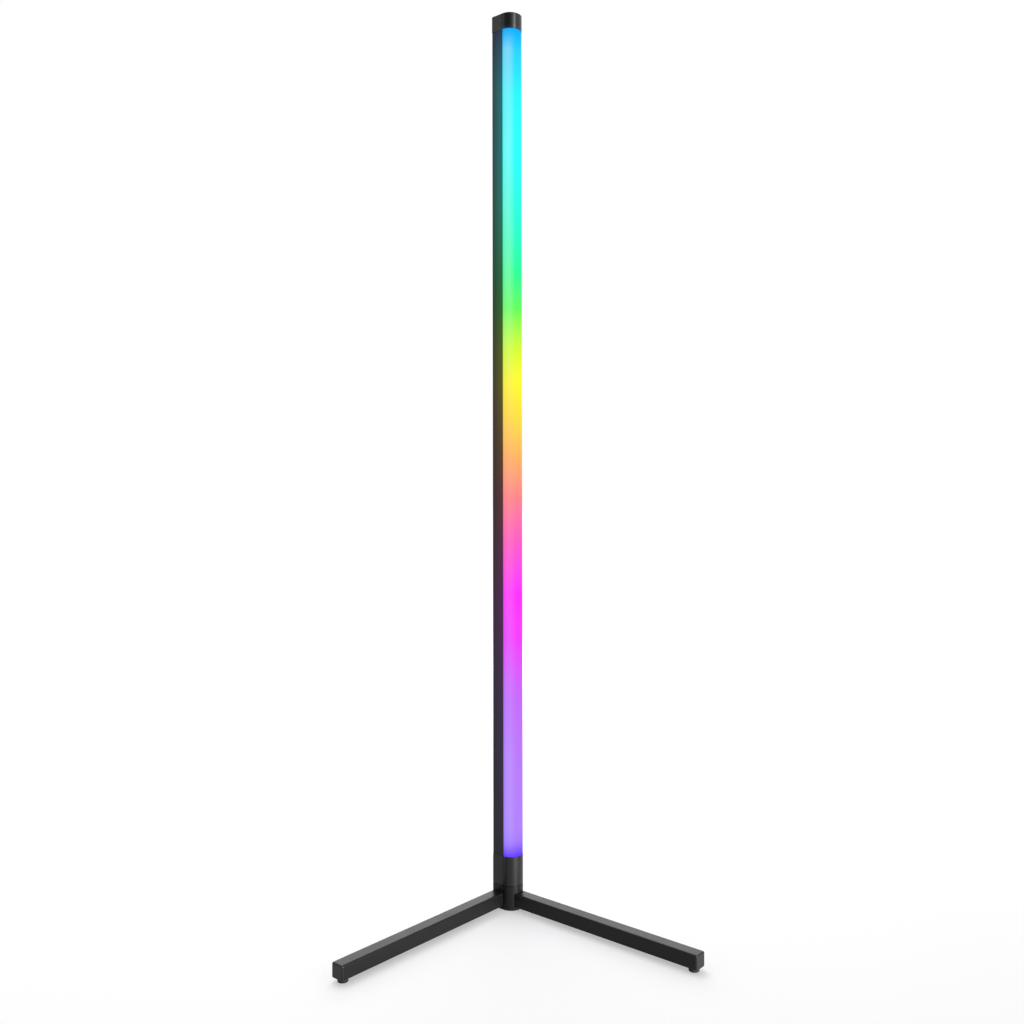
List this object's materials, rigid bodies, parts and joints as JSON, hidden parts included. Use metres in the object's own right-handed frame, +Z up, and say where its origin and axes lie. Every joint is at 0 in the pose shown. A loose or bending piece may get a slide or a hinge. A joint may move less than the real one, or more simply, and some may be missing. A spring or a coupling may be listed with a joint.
{
  "type": "corner floor lamp",
  "caption": "Slim corner floor lamp: a D-shaped column with a lit half-round front that turns on a small hub with square legs set in a right-angled V.",
  "frame": {"origin": "on the floor under the column's swivel axis, on the underside of the hub's rubber pad", "axes": "+Z up along the swivel axis, -Y into the room midway between the two legs, +X to the right"},
  "size_m": [0.4737, 0.2561, 1.32],
  "materials": {
    "black_anodised": "satin black anodised",
    "black_coat": "satin black coat",
    "black_moulding": "satin black moulding",
    "opal_shade": "opal, lit from inside",
    "strip_white": "white flexible board",
    "light_package": "clear over white",
    "board_green": "lacquered circuit board",
    "part_black": "moulded electronic parts",
    "bright_steel": "zinc plated",
    "black_screw": "black oxide",
    "black_rubber": "matt",
    "bearing_white": "bearing plastic",
    "wire_red": "wire insulation"
  },
  "bodies": {
    "base": {"thrust_washer": "bearing_white", "head_washer": "bright_steel", "spring_washer": "bright_steel", "swivel_bolt": "bright_steel", "stop_pin": "bright_steel", "hub": "black_coat", "hub_base_plate": "bright_steel", "base_plate_screws": "bright_steel", "hub_pad": "black_rubber", "left_leg": "black_coat", "right_leg": "black_coat", "left_end_plug": "black_moulding", "right_end_plug": "black_moulding", "left_foot": "black_rubber", "right_foot": "black_rubber", "foot_screws": "bright_steel", "leg_screws": "black_screw"},
    "column": {"top_cap": "black_moulding", "top_cap_screws": "black_screw", "column_channel": "black_anodised", "diffuser": "opal_shade", "led_strip": "strip_white", "led_chips": "light_package", "lower_housing": "black_moulding", "housing_screws": "bright_steel", "controller_board": "board_green", "controller_parts": "part_black", "dc_inlet": "black_moulding", "inlet_nut": "bright_steel", "inlet_wires": "wire_red", "strip_wires": "wire_red", "swivel_bush": "bearing_white"}
  },
  "joints": [
    {"name": "column_swivel", "type": "hinge", "parent": "base", "child": "column", "pos_m": [0, 0, 0.036], "axis": [0, 0, 1], "range_deg": [-165, 165]}
  ]
}
